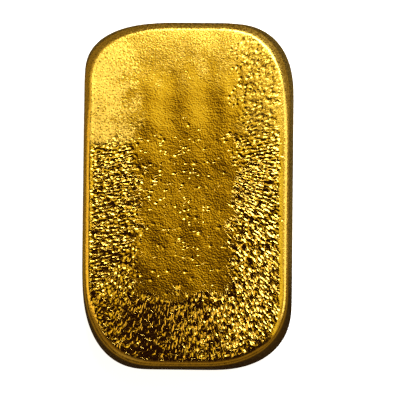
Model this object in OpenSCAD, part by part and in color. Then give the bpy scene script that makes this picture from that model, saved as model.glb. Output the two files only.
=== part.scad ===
// Cast metal ingot: one solid, poured in an open mould and turned out with its mould face up.
// It lies on its pour face. X runs across it, Y along it and Z up through it, in millimetres.
// The origin is on the floor, under the middle of the ingot.

/* [Overall] */
// Length at the widest level, along Y
ingot_length = 50; // [36:0.5:80]
// Width at the widest level, along X
ingot_width = 30.25; // [26:0.25:50]
// Thickness, from the pour face to the mould face
ingot_thickness = 9.3; // [6:0.1:20]

/* [Section] */
// Draft of the side walls that lets the ingot drop out of its mould, in degrees
wall_draft = 3; // [0.5:0.5:10]
// Radius of the edge round the mould face, which the mould forms
mould_edge_radius = 0.9; // [0.4:0.1:2]
// Radius of the edge round the pour face, where the melt drew itself in
pour_edge_radius = 1.8; // [0.6:0.1:2.6]

/* [Corners] */
// Back left corner: how far it runs along the width and along the length
back_left_corner = [11.6, 7]; // [5:0.1:14]
// Back right corner
back_right_corner = [8.6, 10.3]; // [5:0.1:14]
// Front left corner
front_left_corner = [9.4, 13]; // [5:0.1:14]
// Front right corner
front_right_corner = [11.4, 9.4]; // [5:0.1:14]
// Squareness of the corners: 2 is an ellipse and more is squarer
corner_power = 2.3; // [2:0.05:3]
// Extra run of each corner at the mould face, where the mould's floor is rounder than its rim
corner_ease = 1.7; // [0:0.1:3]

/* [Smoothness] */
// Steps round each corner
corner_steps = 20; // [8:1:28]
// Steps across each rounded edge
edge_steps = 6; // [3:1:10]
// Steps up the side walls
wall_steps = 4; // [1:1:8]

/* [Hidden] */
gold = [0.85, 0.62, 0.13];

// The corners, counter-clockwise from above: each one's signs in X and Y, and its two runs
corners = [
    [[ 1,  1], back_right_corner],
    [[-1,  1], back_left_corner],
    [[-1, -1], front_left_corner],
    [[ 1, -1], front_right_corner],
];
ring_size = len(corners) * (corner_steps + 1);

// Levels are [inset from the widest outline, height]. The side wall runs from its foot to its head.
widest = [0, pour_edge_radius];
wall_foot = pour_edge_radius * [1 - cos(wall_draft), 1 + sin(wall_draft)];
wall_head_height = ingot_thickness - mould_edge_radius * (1 - sin(wall_draft));
wall_head = [
    wall_foot.x + (wall_head_height - wall_foot.y) * tan(wall_draft),
    wall_head_height,
];

// Levels of the edge round the pour face, from the floor up to the widest outline
pour_edge_levels = [
    for (i = [0 : edge_steps])
        let (turn = 90 * i / edge_steps)
        pour_edge_radius * [1 - sin(turn), 1 - cos(turn)]
];

// Levels of the side wall, with the widest outline below its foot
wall_levels = [
    widest,
    for (i = [0 : wall_steps]) wall_foot + (wall_head - wall_foot) * i / wall_steps
];

// Levels of the edge round the mould face, from the head of the wall up
mould_edge_levels = [
    for (i = [0 : edge_steps])
        let (turn = wall_draft + (90 - wall_draft) * i / edge_steps)
        wall_head + mould_edge_radius * [cos(wall_draft) - cos(turn), sin(turn) - sin(wall_draft)]
];

// How much of the corners' extra run a height has: none up to the wall's foot, all at the mould face
function ease_at(height) =
    let (share = (height - wall_foot.y) / (ingot_thickness - wall_foot.y))
    corner_ease * pow(max(share, 0), 2);

// One corner of the outline at a level, as a quarter of a superellipse that ends by mid-side
function corner_points(signs, run, level) =
    let (
        half = [ingot_width / 2 - level.x, ingot_length / 2 - level.x],
        change = ease_at(level.y) - level.x,
        level_run = [min(run.x + change, half.x), min(run.y + change, half.y)],
        forwards = signs.x * signs.y > 0
    )
    [
        for (i = [0 : corner_steps])
            let (turn = 90 * (forwards ? i : corner_steps - i) / corner_steps)
            [
                signs.x * (half.x - level_run.x * (1 - pow(cos(turn), 2 / corner_power))),
                signs.y * (half.y - level_run.y * (1 - pow(sin(turn), 2 / corner_power))),
                level.y
            ]
    ];

// The whole outline at a level
function ring(level) = [
    for (corner = corners) each corner_points(corner[0], corner[1], level)
];

// A closed solid through the outlines at a list of levels, lowest first
module loft(levels) {
    top = (len(levels) - 1) * ring_size;
    bottom_cap = [for (i = [0 : ring_size - 1]) i];
    top_cap = [for (i = [ring_size - 1 : -1 : 0]) top + i];
    sides = [
        for (low = [0 : ring_size : top - ring_size], i = [0 : ring_size - 1])
            let (next = (i + 1) % ring_size, high = low + ring_size)
            [low + next, low + i, high + i, high + next]
    ];
    polyhedron(
        points = [for (level = levels) each ring(level)],
        faces = concat([bottom_cap], sides, [top_cap]),
        convexity = 2
    );
}

module pour_edge() { loft(pour_edge_levels); }
module side_wall() { loft(wall_levels); }
module mould_edge() { loft(mould_edge_levels); }

module ingot() {
    color(gold) {
        pour_edge();
        side_wall();
        mould_edge();
    }
}

ingot();
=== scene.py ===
"""Looks of a cast gold ingot: its casting skin, its finish and a plain studio round it.

The ingot lies on its pour face with its mould face up. Its back is at +Y and its foot at -Y. Lengths are in
millimetres, except the floor's and the softboxes', which are in metres.
"""

import math

import bpy
import numpy as np
from mathutils import Matrix, Vector
from mathutils.geometry import delaunay_2d_cdt
from mathutils.kdtree import KDTree


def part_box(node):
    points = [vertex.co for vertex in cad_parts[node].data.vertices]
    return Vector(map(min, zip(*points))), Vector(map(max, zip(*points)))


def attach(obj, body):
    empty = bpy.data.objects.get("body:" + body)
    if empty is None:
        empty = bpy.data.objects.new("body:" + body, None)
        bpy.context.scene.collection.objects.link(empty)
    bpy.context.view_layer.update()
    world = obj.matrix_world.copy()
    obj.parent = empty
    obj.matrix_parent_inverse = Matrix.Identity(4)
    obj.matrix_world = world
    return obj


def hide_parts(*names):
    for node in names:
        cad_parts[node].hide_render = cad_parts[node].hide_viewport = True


MM = 0.001  # in metres

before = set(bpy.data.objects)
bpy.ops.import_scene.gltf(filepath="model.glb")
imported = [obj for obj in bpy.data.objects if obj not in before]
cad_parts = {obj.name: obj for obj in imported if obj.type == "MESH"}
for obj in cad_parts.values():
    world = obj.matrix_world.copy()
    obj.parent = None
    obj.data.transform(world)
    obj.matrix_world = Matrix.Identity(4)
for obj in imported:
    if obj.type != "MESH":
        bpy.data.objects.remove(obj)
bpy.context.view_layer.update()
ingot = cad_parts["ingot"]

low, high = (np.array(corner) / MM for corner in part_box("ingot"))
half_width, half_length = (high - low)[:2] / 2
thickness = high[2] - low[2]

# ---------------------------------------------------------------- mesh spacing

RIM_STEP = 0.2         # between points along the outline, on the mould face and its edge
RIM_ROW_STEP = 0.15    # between rows across the edge of the mould face
WALL_ROW_STEP = 0.5    # between rows on the wall and the pour edge
SKIN_STEP = 0.11       # between points of the casting skin where it is pitted, and twice that elsewhere
POUR_FACE_STEP = 0.9   # between points of the pour face
FACET_BLEND = 4.0      # steps along the outline over which the CAD facets are rounded off
SECTION_BLEND = 0.13   # the same up the section
MAP_STEP = 0.05        # cell of the relief's maps

PIT_STEP = 0.40        # between the places where pits may stand
PIT_FOCUS = 4.0        # the pits' long ways point at this Y, on the middle line
LEVEL_SLOPE = 0.25     # of the pits that lie nearly level instead: the loose ones and those at the left
LEVEL_TURN = -0.6      # where the left begins: the turn round the focus from the foot, in radians
LEVEL_FALL = 1.46      # the slope of the same line
PIT_REACH = 0.65       # from a pit's middle to the furthest cell of the map that it changes
UPPER_WALL = 1.5       # width of a pit's wall towards the back, as a share of the pit's width
LOWER_WALL = 0.8       # the same towards the foot
TIP_ROUNDING = 0.03    # how blunt a pit's deepest point is


def smoothstep(start, end, value):
    """0 before start, 1 after end and a smooth rise between them."""
    share = np.clip((value - start) / (end - start), 0, 1)
    return share * share * (3 - 2 * share)


# ---------------------------------------------------------------- the CAD solid's surface, made smooth


def cad_rings(node):
    """The CAD solid's outlines from the floor up, each one counter-clockwise: levels x points x 3."""
    points = np.array([vertex.co for vertex in node.data.vertices]) / MM
    points = np.unique(points.round(3), axis=0)
    rings = [points[points[:, 2] == height] for height in np.unique(points[:, 2])]
    return np.array([ring[np.argsort(np.arctan2(ring[:, 1], ring[:, 0]))] for ring in rings])


def even_outlines(rings):
    """The rings with points at even steps round the widest one, an even number of them."""
    widest = rings[np.argmax(np.ptp(rings[:, :, 0], axis=1))]
    closed = np.vstack([widest, widest[:1]])
    along = np.concatenate([[0], np.cumsum(np.linalg.norm(np.diff(closed, axis=0), axis=1))])
    count = 2 * round(along[-1] / RIM_STEP / 2)
    wanted = np.arange(count) * along[-1] / count
    before = np.searchsorted(along, wanted, side="right") - 1
    share = ((wanted - along[before]) / (along[before + 1] - along[before]))[None, :, None]
    after = (before + 1) % rings.shape[1]
    even = rings[:, before] * (1 - share) + rings[:, after] * share
    gain = np.exp(-2 * (math.pi * np.fft.rfftfreq(count) * FACET_BLEND) ** 2)
    return np.fft.irfft(np.fft.rfft(even, axis=1) * gain[None, :, None], count, axis=1)


def inwards(ring):
    """Unit vectors that point level and inwards from a ring."""
    run = np.roll(ring, -1, axis=0) - np.roll(ring, 1, axis=0)
    normal = np.stack([-run[:, 1], run[:, 0], np.zeros(len(ring))], axis=1)
    return normal / np.linalg.norm(normal, axis=1, keepdims=True)


def section_rows(rings):
    """Rows up the section from the pour face's edge to the mould face's, close together at the top."""
    spare = 1.0  # of each flat face is added, so that the blend doesn't cut the section short
    levels = np.concatenate([
        rings[:1] + spare * inwards(rings[0]),
        rings,
        rings[-1:] + spare * inwards(rings[-1]),
    ])
    steps = np.linalg.norm(np.diff(levels, axis=0), axis=2).mean(axis=1)
    along = np.concatenate([[0], np.cumsum(steps)])
    edge_start = along[np.argmax(levels[:, 0, 2] > 0.9 * thickness)]
    coarse = np.linspace(spare / 2, edge_start, round((edge_start - spare / 2) / WALL_ROW_STEP) + 1)
    top = along[-1] - spare + 0.1
    fine = np.linspace(edge_start, top, round((top - edge_start) / RIM_ROW_STEP) + 1)
    wanted = np.concatenate([coarse, fine[1:]])
    finely = np.arange(0, along[-1], 0.02)
    to_levels = np.array([np.interp(finely, along, row) for row in np.eye(len(along))]).T
    spread = np.exp(-0.5 * ((wanted[:, None] - finely[None, :]) / SECTION_BLEND) ** 2)
    weights = (spread / spread.sum(axis=1, keepdims=True)) @ to_levels
    return np.einsum("rl,lpc->rpc", weights, levels), len(coarse)


def fill(ring, spacing, height, fine=None):
    """Triangles over the inside of a level ring, on a lattice. The ring's points come first.

    Where fine is given, only every other point of every other row is kept outside it.
    """
    radius = np.linalg.norm(ring[:, :2], axis=1)
    angle = np.arctan2(ring[:, 1], ring[:, 0])
    order = np.argsort(angle)
    rise = spacing * math.sqrt(3) / 2
    rows, columns = np.mgrid[0 : int(2 * half_length / rise), 0 : int(2 * half_width / spacing)]
    x = (columns + rows % 2 / 2) * spacing - half_width
    y = rows * rise - half_length
    limit = np.interp(np.arctan2(y, x), angle[order], radius[order], period=2 * math.pi)
    kept = np.hypot(x, y) < limit - 0.6 * spacing
    if fine is not None:
        coarse = (rows % 2 == 0) & ((columns + rows // 2) % 2 == 0)
        lattice = np.stack([x.ravel(), y.ravel()], axis=1)
        kept &= coarse | (sample(fine, lattice).reshape(x.shape) > 0.5)
    flat = np.concatenate([ring[:, :2], np.stack([x[kept], y[kept]], axis=1)])
    count = len(ring)
    edges = [(i, (i + 1) % count) for i in range(count)]
    made = delaunay_2d_cdt([Vector(point) for point in flat], edges, [], 1, 1e-6)
    points = np.column_stack([flat, np.full(len(flat), height)])
    points[:count] = ring
    return points, np.array(made[2])


def closed_surface(fine):
    """Points and triangles of the whole ingot, and how far each point lies inside the mould face.

    That distance is negative for the points outside the mould face.
    """
    rows, coarse_count = section_rows(even_outlines(cad_rings(ingot)))
    half_rows = rows[:coarse_count, ::2]
    full_rows = rows[coarse_count:]
    sparse, dense = half_rows.shape[1], full_rows.shape[1]
    triangles = []

    def band(start_low, start_high, count):
        low_ring = start_low + np.arange(count)
        high_ring = start_high + np.arange(count)
        low_next, high_next = np.roll(low_ring, -1), np.roll(high_ring, -1)
        triangles.append(np.stack([low_ring, low_next, high_next], axis=1))
        triangles.append(np.stack([low_ring, high_next, high_ring], axis=1))

    for row in range(coarse_count - 1):
        band(row * sparse, (row + 1) * sparse, sparse)
    # The last row of the wall meets a row with twice its points, so each of its steps meets two steps.
    last_sparse = (coarse_count - 1) * sparse + np.arange(sparse)
    first_dense = coarse_count * sparse
    left = first_dense + 2 * np.arange(sparse)
    middle, right = left + 1, first_dense + (2 * np.arange(sparse) + 2) % dense
    triangles.append(np.stack([last_sparse, middle, left], axis=1))
    triangles.append(np.stack([last_sparse, np.roll(last_sparse, -1), middle], axis=1))
    triangles.append(np.stack([np.roll(last_sparse, -1), right, middle], axis=1))
    for row in range(len(full_rows) - 1):
        band(first_dense + row * dense, first_dense + (row + 1) * dense, dense)

    points = [half_rows.reshape(-1, 3), full_rows.reshape(-1, 3)]
    top_ring_start = len(points[0]) + len(points[1]) - dense
    base_points, base_triangles = fill(half_rows[0], POUR_FACE_STEP, low[2])
    skin_points, skin_triangles = fill(full_rows[-1], SKIN_STEP, high[2], fine)
    base_start = top_ring_start + dense
    skin_start = base_start + len(base_points) - sparse
    shifted = np.where(base_triangles < sparse, base_triangles, base_triangles - sparse + base_start)
    triangles.append(shifted[:, ::-1])
    shifted = np.where(
        skin_triangles < dense,
        skin_triangles + top_ring_start,
        skin_triangles - dense + skin_start,
    )
    triangles.append(shifted)
    points += [base_points[sparse:], skin_points[dense:]]
    points, triangles = np.concatenate(points), np.concatenate(triangles)
    inset = distances(points, full_rows[-1])
    inset[:skin_start] *= -1
    return points, triangles, inset


def distances(points, ring):
    """How far each point is from a ring's points, seen from above."""
    tree = KDTree(len(ring))
    for index, (x, y, _) in enumerate(ring):
        tree.insert((x, y, 0), index)
    tree.balance()
    return np.array([tree.find((x, y, 0))[2] for x, y, _ in points])


def make_mesh(name, points, triangles):
    """A smooth-shaded mesh in metres."""
    mesh = bpy.data.meshes.new(name)
    mesh.from_pydata((points * MM).tolist(), [], triangles.tolist())
    mesh.shade_smooth()
    mesh.update()
    return mesh


# ---------------------------------------------------------------- relief of the casting skin

map_x = np.arange(-half_width, half_width, MAP_STEP)
map_y = np.arange(-half_length, half_length, MAP_STEP)
grid_x, grid_y = np.meshgrid(map_x, map_y)


def noise_map(wavelength, rng):
    """Smooth random heights with unit spread and about the given wavelength."""
    white = rng.standard_normal(grid_x.shape)
    fy = np.fft.fftfreq(grid_x.shape[0], MAP_STEP)[:, None]
    fx = np.fft.fftfreq(grid_x.shape[1], MAP_STEP)[None, :]
    radius = np.hypot(fx, fy) * wavelength
    band = np.exp(-((radius - 1) / 0.5) ** 2)
    made = np.fft.ifft2(np.fft.fft2(white) * band).real
    return made / made.std()


def patch(x, y, reach_x, reach_y, soft):
    """1 inside an ellipse round (x, y) and 0 outside it, with an edge about as wide as soft."""
    distance = np.hypot((grid_x - x) / reach_x, (grid_y - y) / reach_y)
    half_edge = soft / min(reach_x, reach_y) / 2
    return 1 - smoothstep(1 - half_edge, 1 + half_edge, distance)


def pit_density(rng):
    """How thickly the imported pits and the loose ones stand, from 0 to 1, and how deep the pits are.

    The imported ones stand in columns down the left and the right, across the foot and, thinner, on the brow
    at the back right. The loose ones stand in the middle. Pits are shallow at the left of the foot and on
    the brow, and deepest in the two columns.
    """
    wander = noise_map(3.5, rng)
    left = smoothstep(-4.5, -9.5, grid_x + 0.5 * wander) ** 2 * smoothstep(7.8, 6.6, grid_y + 0.5 * wander)
    right = smoothstep(6.5, 9.5, grid_x + 0.5 * wander) ** 2 * smoothstep(12.0, 8.5, grid_y + wander)
    foot = smoothstep(-13.0, -17.0, grid_y + 0.7 * wander - 0.12 * np.abs(grid_x)) ** 2
    brow = 0.8 * smoothstep(4.5, 9.0, grid_x + 0.5 * wander) ** 2 * smoothstep(24, 22, grid_y)
    middle = 0.03 + 0.12 * patch(0.5, -4, 2.2, 6.5, 2) + 0.12 * patch(-5, 3, 6, 7, 4)
    middle *= smoothstep(12.0, 8.5, grid_y)
    dull_foot = smoothstep(6, -8, grid_x) * smoothstep(-12.5, -16.5, grid_y)
    dull_brow = smoothstep(7, 12, grid_y) * smoothstep(5, 8, grid_x)
    depth = (1 - 0.82 * dull_foot) * (1 - 0.45 * dull_brow)
    depth += 0.3 * smoothstep(5, 9, np.abs(grid_x)) * smoothstep(8, 5, grid_y)
    margins = smoothstep(13.5, 12.9, grid_x) * smoothstep(-13.7, -13.2, grid_x)
    return margins * np.maximum.reduce([left, right, foot, brow]), middle, depth


def stamp_pits(density, depth_map, rng):
    """Heights of pits on a jittered lattice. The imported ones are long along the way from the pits' focus.

    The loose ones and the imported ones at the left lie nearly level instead.
    """
    xs, ys = np.meshgrid(
        np.arange(-half_width, half_width, PIT_STEP), np.arange(-half_length, half_length, PIT_STEP)
    )
    xs = (xs + rng.uniform(-0.6, 0.6, xs.shape) * PIT_STEP).ravel()
    ys = (ys + rng.uniform(-0.6, 0.6, ys.shape) * PIT_STEP).ravel()
    chance = sample(density, np.stack([xs, ys], axis=1))
    kept = rng.uniform(0, 1, len(xs)) < chance
    xs, ys = xs[kept], ys[kept]
    count = len(xs)
    crowded = smoothstep(0.2, 0.6, chance[kept])
    at_left = (xs < 0) & (PIT_FOCUS - ys < -LEVEL_FALL * xs)
    level = (crowded < 0.5) | at_left
    turns = np.where(level, LEVEL_SLOPE, np.arctan((ys - PIT_FOCUS) / xs)) + rng.normal(0, 0.3, count)
    size = rng.uniform(0.6, 1.0, count) ** 2
    lengths = 0.30 * size + rng.uniform(0.1, 0.55, count) * crowded
    widths = 0.17 * size
    widths += (rng.uniform(0.12, 0.20, count) - widths) * crowded
    depths = widths * rng.uniform(0.2, 0.5, count) * (1 - 0.3 * crowded)
    depths *= sample(depth_map, np.stack([xs, ys], axis=1))
    heights = np.zeros_like(grid_x)
    reach = int(PIT_REACH / MAP_STEP)
    for x, y, turn, length, width, depth in zip(xs, ys, turns, lengths, widths, depths):
        row, column = int((y + half_length) / MAP_STEP), int((x + half_width) / MAP_STEP)
        area = (
            slice(max(row - reach, 0), max(row + reach, 0)),
            slice(max(column - reach, 0), max(column + reach, 0)),
        )
        dx, dy = grid_x[area] - x, grid_y[area] - y
        along = dx * math.cos(turn) + dy * math.sin(turn)
        across = dy * math.cos(turn) - dx * math.sin(turn)
        across = np.where(across > 0, across / UPPER_WALL, across / LOWER_WALL)
        cone = 1 - np.sqrt((along / length) ** 2 + (across / width) ** 2 + TIP_ROUNDING)
        heights[area] = np.minimum(heights[area], -depth * cone)
    return heights


def blurred(values, reach):
    """A map averaged over a soft spot of the given reach."""
    fy = np.fft.fftfreq(values.shape[0], MAP_STEP)[:, None]
    fx = np.fft.rfftfreq(values.shape[1], MAP_STEP)[None, :]
    gain = np.exp(-2 * (math.pi * reach) ** 2 * (fx**2 + fy**2))
    return np.fft.irfft2(np.fft.rfft2(values) * gain, values.shape)


def relief_map():
    """Maps of the casting skin: heights, packed pits, loose pits, their depth, frost and fine mesh."""
    rng = np.random.default_rng(7)
    packed, loose, depth = pit_density(rng)
    pits = stamp_pits(np.maximum(0.85 * packed, 0.5 * loose), depth, rng)
    heights = pits - 0.5 * blurred(pits, 0.6)  # the ground between pits stands a little higher
    pitted = np.clip(blurred((pits < -0.01).astype(float), 0.15) * 3, 0, 1)
    # Unevenness from fine to coarse, the fine kind among pits only
    heights += 0.004 * noise_map(0.5, rng) * pitted
    heights += 0.004 * noise_map(1.6, rng) * (0.4 + pitted)
    heights += 0.008 * noise_map(6.0, rng)
    # Low waves side by side, short of the back edge
    bands = smoothstep(7, 10, grid_y) * smoothstep(19, 15, grid_y) * smoothstep(7.5, 5, np.abs(grid_x))
    heights += 0.018 * np.cos((grid_x - 0.2) * 2 * math.pi / 5.5) * bands
    fine = (blurred((pits < -0.012).astype(float), 0.1) > 0.12).astype(float)
    wander = noise_map(3.0, rng) + noise_map(0.7, rng)
    frost = np.maximum.reduce([
        0.55 * smoothstep(13.0, 22.0, grid_y + 0.8 * wander),
        smoothstep(-5.0, -11.0, grid_x + 0.8 * wander) * smoothstep(6.4, 7.6, grid_y),
        0.45 * smoothstep(6.0, 10.5, grid_x + 0.8 * wander) * smoothstep(6.0, 10.0, grid_y),
    ])
    return heights, packed, loose, depth, frost, fine


def sample(values, points):
    """A map's values at points, between its cells."""
    column = np.clip((points[:, 0] - map_x[0]) / MAP_STEP, 0, len(map_x) - 1.001)
    row = np.clip((points[:, 1] - map_y[0]) / MAP_STEP, 0, len(map_y) - 1.001)
    c, r = column.astype(int), row.astype(int)
    u, v = column - c, row - r
    upper = values[r, c] * (1 - u) + values[r, c + 1] * u
    lower = values[r + 1, c] * (1 - u) + values[r + 1, c + 1] * u
    return upper * (1 - v) + lower * v


def swell(x, y):
    """The mould face's gentle shape, as heights above the CAD's flat face. None is above zero.

    It falls away at the back, the foot and the right edge, is dished between and has a low lip at the left.
    """
    back = 0.0018 * np.clip(y - 11, 0, None) ** 2 + 0.0002 * np.clip(y + 6, 0, None) ** 2
    slant = np.clip(-0.8 * x - y - 14, 0, None)
    drop = np.clip(-y - 16, 0, None)
    front = 0.022 * slant**2 / (slant + 6)
    front += 0.03 * drop**2 / (drop + 0.6) * smoothstep(-18, -2, x) * smoothstep(13, 4, x)
    dish = 0.0008 * np.clip(144 - x**2, 0, None) + 0.06 * smoothstep(13.5, 6.5, x) * smoothstep(8, 0, y)
    dish *= smoothstep(24, 16, np.abs(y))
    right_foot = 0.03 * np.clip(x - 8, 0, None) * smoothstep(-10, -16, y)
    right_shoulder = 0.05 * np.clip(x - 12.3, 0, None) ** 2
    left_lip = 0.05 * smoothstep(-13.95, -13.2, x)
    return -(back + front + dish + right_foot + right_shoulder + left_lip)


def shoulder(x, y, inset):
    """How far the face's rim sinks because it turns down sooner than the CAD's does.

    inset is how far a place lies inside the mould face. The rim sinks fully at the back, less at the left
    and the foot, and not at all at the right.
    """
    turning = 2.9 * np.clip(0.1 - np.clip(inset, 0, None), 0, None) ** 2
    turned = 0.58 * np.clip(-inset, 0, 0.75)
    return (turning + turned) * np.clip(smoothstep(8, 17, y) + 0.4 * smoothstep(12.5, 10.5, x), 0, 1)


# ---------------------------------------------------------------- the piece

heights, packed, loose, depth, frost, fine = relief_map()
points, triangles, inset = closed_surface(fine)
on_face = smoothstep(-0.3, 0.2, inset)
near_top = smoothstep(0.4 * thickness, high[2], points[:, 2])
points[:, 2] += on_face * sample(heights, points) + near_top * swell(points[:, 0], points[:, 1])
points[:, 2] -= near_top * shoulder(points[:, 0], points[:, 1], inset)
piece = bpy.data.objects.new("cast_ingot", make_mesh("cast_ingot", points, triangles))
bpy.context.scene.collection.objects.link(piece)


def keep(name, values):
    """Stores one number for each point, for the material to read."""
    attribute = piece.data.attributes.new(name, "FLOAT", "POINT")
    attribute.data.foreach_set("value", values.astype(np.float32))


# The rim and the walls are glossier at the foot. The terraces between packed pits are steeper there, and
# there are none at the back.
rough_edge = 0.25 + 0.55 * smoothstep(-16, -8, points[:, 1])
terraced = smoothstep(6, 0, points[:, 1]) + 0.6 * smoothstep(-5, -12, points[:, 1])
keep("frosted", sample(frost, points) * on_face + rough_edge * (1 - on_face))
keep("packed", sample(packed, points) * on_face)
keep("terraced", sample(packed, points) * terraced * on_face)
keep("loose", sample(loose, points) * on_face)
keep("depth", sample(depth, points) * on_face)


# ---------------------------------------------------------------- finish

PACKED_DEPTH = 0.09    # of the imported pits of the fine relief
LOOSE_DEPTH = 0.065    # of its loose pits
TERRACE_SLOPE = 0.07   # of the terraces between its packed pits
GRAIN_HEIGHT = 0.02    # of its grain, which is half as high between packed pits
FROST_HEIGHT = 0.025   # of its frost
DRIFT = 0.5            # how far its pits are drawn out of their even lattice
OUTER_START = 17.5     # distance from the focus beyond which its packed pits stand in more columns
INNER_RADIUS = 12      # distance at which the inner columns have their true spacing
OUTER_RADIUS = 22      # the same for the outer ones
LEFT_SHIFT = 50        # keeps the pits left of the focus from mirroring those right of it


def number(tree, operation, *values):
    """The output of a Math node whose inputs are numbers or other nodes' outputs."""
    node = tree.nodes.new("ShaderNodeMath")
    node.operation = operation
    for socket, value in zip(node.inputs, values):
        if isinstance(value, bpy.types.NodeSocket):
            tree.links.new(value, socket)
        else:
            socket.default_value = value
    return node.outputs["Value"]


def stored(tree, name):
    """A number that the mesh keeps for each point."""
    node = tree.nodes.new("ShaderNodeAttribute")
    node.attribute_name = name
    return node.outputs["Fac"]


def pits(tree, x, y, spread, reach, walls, there):
    """Pits round scattered points. All lengths are in millimetres.

    Gives how deep a place lies in its pit, from 0 to 1, and how far along y it lies from the pit's deepest
    point. spread is the points' spacing along x and y, and reach how far a pit goes along x. Along y it goes
    as far as walls says: below its deepest point and above it. Pits stand where there says, from 0 to 1.
    """
    place = tree.nodes.new("ShaderNodeCombineXYZ")
    tree.links.new(number(tree, "DIVIDE", x, spread[0]), place.inputs["X"])
    tree.links.new(number(tree, "DIVIDE", y, spread[1]), place.inputs["Y"])
    points = tree.nodes.new("ShaderNodeTexVoronoi")
    points.voronoi_dimensions = "2D"
    points.inputs["Scale"].default_value = 1
    tree.links.new(place.outputs["Vector"], points.inputs["Vector"])
    offset = tree.nodes.new("ShaderNodeVectorMath")
    offset.operation = "SUBTRACT"
    tree.links.new(place.outputs["Vector"], offset.inputs[0])
    tree.links.new(points.outputs["Position"], offset.inputs[1])
    ways = tree.nodes.new("ShaderNodeSeparateXYZ")
    tree.links.new(offset.outputs["Vector"], ways.inputs["Vector"])
    parts = tree.nodes.new("ShaderNodeSeparateColor")
    tree.links.new(points.outputs["Color"], parts.inputs["Color"])
    size = number(tree, "MULTIPLY_ADD", parts.outputs["Green"], 0.6, 0.7)
    along = number(tree, "DIVIDE", ways.outputs["X"], number(tree, "MULTIPLY", size, reach / spread[0]))
    above = number(tree, "GREATER_THAN", ways.outputs["Y"], 0)
    wall = number(tree, "MULTIPLY_ADD", above, (walls[1] - walls[0]) / spread[1], walls[0] / spread[1])
    across = number(tree, "DIVIDE", ways.outputs["Y"], wall)
    square = number(tree, "ADD", number(tree, "POWER", along, 2), number(tree, "POWER", across, 2))
    cone = number(tree, "MAXIMUM", number(tree, "SUBTRACT", 1, number(tree, "SQRT", square)), 0)
    real = number(tree, "LESS_THAN", parts.outputs["Red"], there)
    strength = number(tree, "MULTIPLY_ADD", parts.outputs["Blue"], 0.4, 0.6)
    depth = number(tree, "MULTIPLY", number(tree, "MULTIPLY", cone, strength), real)
    return depth, number(tree, "MULTIPLY", ways.outputs["Y"], spread[1])


def noise(tree, scale, detail):
    """Smooth random numbers round 0.5, with scale waves to the metre."""
    node = tree.nodes.new("ShaderNodeTexNoise")
    where = tree.nodes.new("ShaderNodeTexCoord")
    node.inputs["Scale"].default_value = scale
    node.inputs["Detail"].default_value = detail
    tree.links.new(where.outputs["Object"], node.inputs["Vector"])
    return node.outputs["Fac"]


def focus_place(tree):
    """The place on the ingot from the pits' focus, in millimetres, with a small random drift."""
    where = tree.nodes.new("ShaderNodeTexCoord")
    place = tree.nodes.new("ShaderNodeSeparateXYZ")
    tree.links.new(where.outputs["Object"], place.inputs["Vector"])
    x = number(tree, "DIVIDE", place.outputs["X"], MM)
    y = number(tree, "SUBTRACT", number(tree, "DIVIDE", place.outputs["Y"], MM), PIT_FOCUS)
    x = number(tree, "ADD", x, number(tree, "MULTIPLY", noise(tree, 1300, 1), DRIFT))
    y = number(tree, "ADD", y, number(tree, "MULTIPLY", noise(tree, 1500, 1), DRIFT))
    return x, y


def packed_relief(tree, x, y, rise):
    """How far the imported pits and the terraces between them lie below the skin.

    The pits are long along the way from the focus, and nearly level at the left, where rise runs across
    them. A terrace climbs slowly to the right or to the back, and drops where the next pit's ground begins.
    """
    away = number(tree, "SQRT", number(tree, "ADD", number(tree, "POWER", x, 2), number(tree, "POWER", y, 2)))
    turn = number(tree, "ARCTAN2", x, number(tree, "MULTIPLY", y, -1))
    left = number(tree, "LESS_THAN", turn, 0)
    level = number(tree, "LESS_THAN", turn, LEVEL_TURN)
    outer = number(tree, "GREATER_THAN", away, OUTER_START)
    radius = number(tree, "MULTIPLY_ADD", outer, OUTER_RADIUS - INNER_RADIUS, INNER_RADIUS)
    beside = number(tree, "MULTIPLY", number(tree, "ABSOLUTE", turn), radius)
    beside = number(tree, "MULTIPLY_ADD", left, LEFT_SHIFT, beside)
    along = number(tree, "MULTIPLY_ADD", number(tree, "SUBTRACT", x, away), level, away)
    across = number(tree, "MULTIPLY_ADD", number(tree, "SUBTRACT", rise, beside), level, beside)
    deep, above = pits(tree, along, across, (1.0, 0.50), 0.52, (0.13, 0.36), stored(tree, "packed"))
    deep = number(tree, "MULTIPLY", deep, number(tree, "MULTIPLY", stored(tree, "depth"), PACKED_DEPTH))
    slope = number(tree, "MULTIPLY", stored(tree, "terraced"), TERRACE_SLOPE)
    runs_left = number(tree, "SUBTRACT", left, level)
    slope = number(tree, "MULTIPLY", slope, number(tree, "MULTIPLY_ADD", runs_left, -2, 1))
    return number(tree, "SUBTRACT", deep, number(tree, "MULTIPLY", above, slope))


def fine_relief(tree):
    """Heights in millimetres of the relief that is too fine for the mesh."""
    x, y = focus_place(tree)
    rise = number(tree, "MULTIPLY_ADD", x, -LEVEL_SLOPE, y)
    packed = packed_relief(tree, x, y, rise)
    there = number(tree, "MULTIPLY", stored(tree, "loose"), 1.6)
    loose, _ = pits(tree, x, rise, (0.70, 0.42), 0.30, (0.10, 0.22), there)
    loose = number(tree, "MULTIPLY", loose, LOOSE_DEPTH)
    graininess = number(tree, "MULTIPLY_ADD", stored(tree, "packed"), -GRAIN_HEIGHT / 2, GRAIN_HEIGHT)
    grain = number(tree, "MULTIPLY", noise(tree, 4200, 2), graininess)
    frost = number(tree, "MULTIPLY", stored(tree, "frosted"), FROST_HEIGHT)
    frost = number(tree, "MULTIPLY", noise(tree, 4600, 1), frost)
    grain = number(tree, "ADD", grain, frost)
    return number(tree, "SUBTRACT", grain, number(tree, "ADD", packed, loose))


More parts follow.
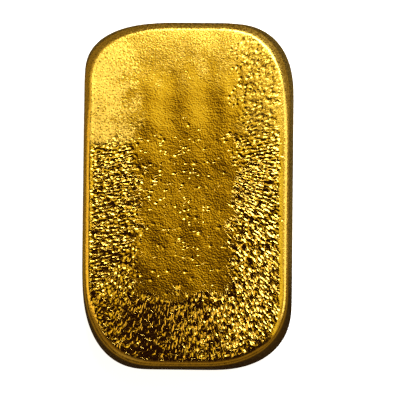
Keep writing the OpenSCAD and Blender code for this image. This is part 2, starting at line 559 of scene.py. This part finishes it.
def gold():
    """Cast gold: glossy, and unevenly rough where it is frosted."""
    material = bpy.data.materials.new("cast_gold")
    material.use_nodes = True
    tree = material.node_tree
    shader = tree.nodes["Principled BSDF"]
    shader.inputs["Base Color"].default_value = (1.0, 0.67, 0.11, 1)
    shader.inputs["Metallic"].default_value = 1.0
    uneven = number(tree, "MULTIPLY_ADD", noise(tree, 4400, 1), 0.9, -0.17)
    roughness = number(tree, "MULTIPLY_ADD", uneven, stored(tree, "frosted"), 0.08)
    tree.links.new(roughness, shader.inputs["Roughness"])
    bump = tree.nodes.new("ShaderNodeBump")
    bump.inputs["Strength"].default_value = 1
    bump.inputs["Distance"].default_value = MM
    tree.links.new(fine_relief(tree), bump.inputs["Height"])
    tree.links.new(bump.outputs["Normal"], shader.inputs["Normal"])
    return material


piece.data.materials.append(gold())
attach(piece, "root")
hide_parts("ingot")


# ---------------------------------------------------------------- studio

PAINTED_SHADE_REACH = 4.0  # how far the painted shade in the paper's painted reflection changes, in half widths and half lengths of the ingot


def paper():
    """Pale paper. The ingot mirrors it as a painted reflection that glows: painted shade, dark close round
    the ingot and lighter away from it.
    """
    material = bpy.data.materials.new("floor_paper")
    material.use_nodes = True
    nodes, links = material.node_tree.nodes, material.node_tree.links
    pale = nodes["Principled BSDF"]
    pale.inputs["Base Color"].default_value = (0.93, 0.93, 0.93, 1)
    pale.inputs["Roughness"].default_value = 0.9
    pale.inputs["Emission Color"].default_value = (1, 1, 1, 1)
    pale.inputs["Emission Strength"].default_value = 0.92
    where = nodes.new("ShaderNodeTexCoord")
    shrunk = nodes.new("ShaderNodeVectorMath")
    shrunk.operation = "DIVIDE"
    shrunk.inputs[1].default_value = (half_width * MM, half_length * MM, 1)
    away = nodes.new("ShaderNodeVectorMath")
    away.operation = "LENGTH"
    links.new(where.outputs["Object"], shrunk.inputs[0])
    links.new(shrunk.outputs["Vector"], away.inputs[0])
    # Painted shade for the reflection: dark brown close round the ingot, lighter further away
    painted_shade_ramp = ramp(nodes, 0, PAINTED_SHADE_REACH, (
        (1.2, (0.012, 0.005, 0.003)),
        (1.6, (0.05, 0.03, 0.008)),
        (3.0, (0.22, 0.15, 0.045)),
    ))
    share = nodes.new("ShaderNodeMath")
    share.operation = "DIVIDE"
    share.inputs[1].default_value = PAINTED_SHADE_REACH
    links.new(away.outputs["Value"], share.inputs[0])
    links.new(share.outputs["Value"], painted_shade_ramp.inputs["Fac"])
    # The painted reflection glows with that colour, and only glossy rays see it
    painted_reflection = nodes.new("ShaderNodeEmission")
    links.new(painted_shade_ramp.outputs["Color"], painted_reflection.inputs["Color"])
    path = nodes.new("ShaderNodeLightPath")
    mix = nodes.new("ShaderNodeMixShader")
    links.new(path.outputs["Is Glossy Ray"], mix.inputs["Fac"])
    links.new(pale.outputs["BSDF"], mix.inputs[1])
    links.new(painted_reflection.outputs["Emission"], mix.inputs[2])
    links.new(mix.outputs["Shader"], nodes["Material Output"].inputs["Surface"])
    return material


def floor():
    """A level sheet of the paper under the ingot."""
    mesh = bpy.data.meshes.new("floor")
    reach = 0.6
    corners = [(-reach, -reach, 0), (reach, -reach, 0), (reach, reach, 0), (-reach, reach, 0)]
    mesh.from_pydata(corners, [], [(0, 1, 2, 3)])
    made = bpy.data.objects.new("floor", mesh)
    bpy.context.scene.collection.objects.link(made)
    mesh.materials.append(paper())


SOFTBOX_DISTANCE = 0.6  # from the ingot


def softbox(name, toward, lean, width, length, radiance, colour=(1, 1, 1)):
    """A soft light that faces the ingot from lean degrees off the vertical, toward an (x, y) side."""
    light = bpy.data.lights.new(name, "AREA")
    light.shape = "RECTANGLE"
    light.color = colour
    light.size = width
    light.size_y = length
    light.energy = radiance * math.pi * width * length
    made = bpy.data.objects.new(name, light)
    side = Vector((toward[0], toward[1], 0)).normalized()
    direction = side * math.sin(math.radians(lean)) + Vector((0, 0, 1)) * math.cos(math.radians(lean))
    made.location = direction * SOFTBOX_DISTANCE
    made.rotation_euler = facing(direction).to_euler()
    made.visible_camera = False
    bpy.context.scene.collection.objects.link(made)


def facing(direction, roll=0.0):
    """Turns a camera or a light to look against direction, with +Y upwards and then turned by roll."""
    right = Vector((0, 1, 0)).cross(direction).normalized()
    upright = Matrix((right, direction.cross(right), direction)).transposed()
    return upright @ Matrix.Rotation(roll, 3, "Z")


LIGHT_SIDE = (0.62, 0.785, 0)  # the way towards the bright side of the studio
SIDE_RANGE = (-0.80, 0.50)     # how far along it the surroundings change
HORIZON_RANGE = (0.34, 0.56)   # height at which the dim gold near the horizon gives way to that change


def backdrop():
    """Surroundings that are bright on one side and dark on the other, and dim gold near the horizon.

    The camera sees them white.
    """
    world = bpy.data.worlds.new("studio")
    world.use_nodes = True
    nodes, links = world.node_tree.nodes, world.node_tree.links
    where = nodes.new("ShaderNodeTexCoord")
    side = nodes.new("ShaderNodeVectorMath")
    side.operation = "DOT_PRODUCT"
    side.inputs[1].default_value = LIGHT_SIDE
    links.new(where.outputs["Generated"], side.inputs[0])
    spread = nodes.new("ShaderNodeMapRange")
    spread.inputs["From Min"].default_value = SIDE_RANGE[0]
    spread.inputs["From Max"].default_value = SIDE_RANGE[1]
    links.new(side.outputs["Value"], spread.inputs["Value"])
    across = ramp(nodes, *SIDE_RANGE, (
        (-0.80, (0.16, 0.10, 0.03)),
        (-0.50, (0.012, 0.004, 0.008)),
        (-0.18, (0.010, 0.003, 0.008)),
        (-0.08, (0.014, 0.005, 0.008)),
        (-0.05, (0.025, 0.010, 0.008)),
        (-0.02, (0.07, 0.040, 0.007)),
        (0.00, (0.125, 0.074, 0.005)),
        (0.015, (0.165, 0.102, 0.004)),
        (0.033, (0.28, 0.175, 0.004)),
        (0.053, (0.58, 0.365, 0.008)),
        (0.11, (0.96, 0.80, 0.10)),
        (0.18, (0.97, 0.94, 0.32)),
        (0.23, (0.50, 0.36, 0.05)),
        (0.34, (0.30, 0.20, 0.02)),
        (0.50, (0.22, 0.14, 0.02)),
    ))
    links.new(spread.outputs["Result"], across.inputs["Fac"])
    parts = nodes.new("ShaderNodeSeparateXYZ")
    links.new(where.outputs["Generated"], parts.inputs["Vector"])
    horizon = ramp(nodes, 0, 1, (
        (0.10, (0.02, 0.010, 0.003)),
        (0.22, (0.22, 0.145, 0.035)),
        (0.45, (0.28, 0.19, 0.05)),
    ))
    links.new(parts.outputs["Z"], horizon.inputs["Fac"])
    height = nodes.new("ShaderNodeMapRange")
    height.inputs["From Min"].default_value = HORIZON_RANGE[0]
    height.inputs["From Max"].default_value = HORIZON_RANGE[1]
    links.new(parts.outputs["Z"], height.inputs["Value"])
    both = nodes.new("ShaderNodeMix")
    both.data_type = "RGBA"
    links.new(height.outputs["Result"], both.inputs["Factor"])
    links.new(horizon.outputs["Color"], both.inputs["A"])
    links.new(across.outputs["Color"], both.inputs["B"])
    surroundings = nodes["Background"]
    links.new(both.outputs["Result"], surroundings.inputs["Color"])
    seen = nodes.new("ShaderNodeBackground")
    seen.inputs["Color"].default_value = (1, 1, 1, 1)
    path = nodes.new("ShaderNodeLightPath")
    mix = nodes.new("ShaderNodeMixShader")
    links.new(path.outputs["Is Camera Ray"], mix.inputs["Fac"])
    links.new(surroundings.outputs["Background"], mix.inputs[1])
    links.new(seen.outputs["Background"], mix.inputs[2])
    links.new(mix.outputs["Shader"], nodes["World Output"].inputs["Surface"])
    bpy.context.scene.world = world


def ramp(nodes, start, end, stops):
    """A colour ramp whose stops are given as (value, colour), for values from start to end."""
    made = nodes.new("ShaderNodeValToRGB")
    elements = made.color_ramp.elements
    while len(elements) < len(stops):
        elements.new(0.5)
    for element, (value, colour) in zip(elements, stops):
        element.position = (value - start) / (end - start)
        element.color = (*colour, 1)
    return made


CAMERA_HEIGHT = 510        # above the mould face
CAMERA_TILT = (2.2, 2.85)  # degrees off the vertical, to the right and to the front
CAMERA_ROLL = 0.6          # degrees
CAMERA_AIM = (2.0, -0.85)  # the point of the mould face in the middle of the picture
VIEW_WIDTH = 56.8          # of the mould face's plane in the picture


def camera():
    """A long lens, nearly straight above the mould face."""
    data = bpy.data.cameras.new("camera")
    data.lens = data.sensor_width * CAMERA_HEIGHT / VIEW_WIDTH
    made = bpy.data.objects.new("camera", data)
    right, front = (math.tan(math.radians(angle)) for angle in CAMERA_TILT)
    reach = Vector((right, -front, 1)) * CAMERA_HEIGHT * MM
    made.location = Vector((CAMERA_AIM[0], CAMERA_AIM[1], thickness)) * MM + reach
    made.rotation_euler = facing(reach.normalized(), math.radians(CAMERA_ROLL)).to_euler()
    bpy.context.scene.collection.objects.link(made)
    bpy.context.scene.camera = made


floor()
softbox("key_softbox", (0.5, 0.87), 42, 0.48, 0.36, 9.0)
softbox("right_softbox", (1, 0.1), 60, 0.3, 0.3, 1.4)
softbox("left_softbox", (-1, 0), 48, 0.4, 0.3, 1.1, (1, 0.75, 0.25))
softbox("front_softbox", (-0.5, -1), 66, 0.4, 0.18, 0.08)
backdrop()
camera()
bpy.context.scene.view_settings.view_transform = "Standard"
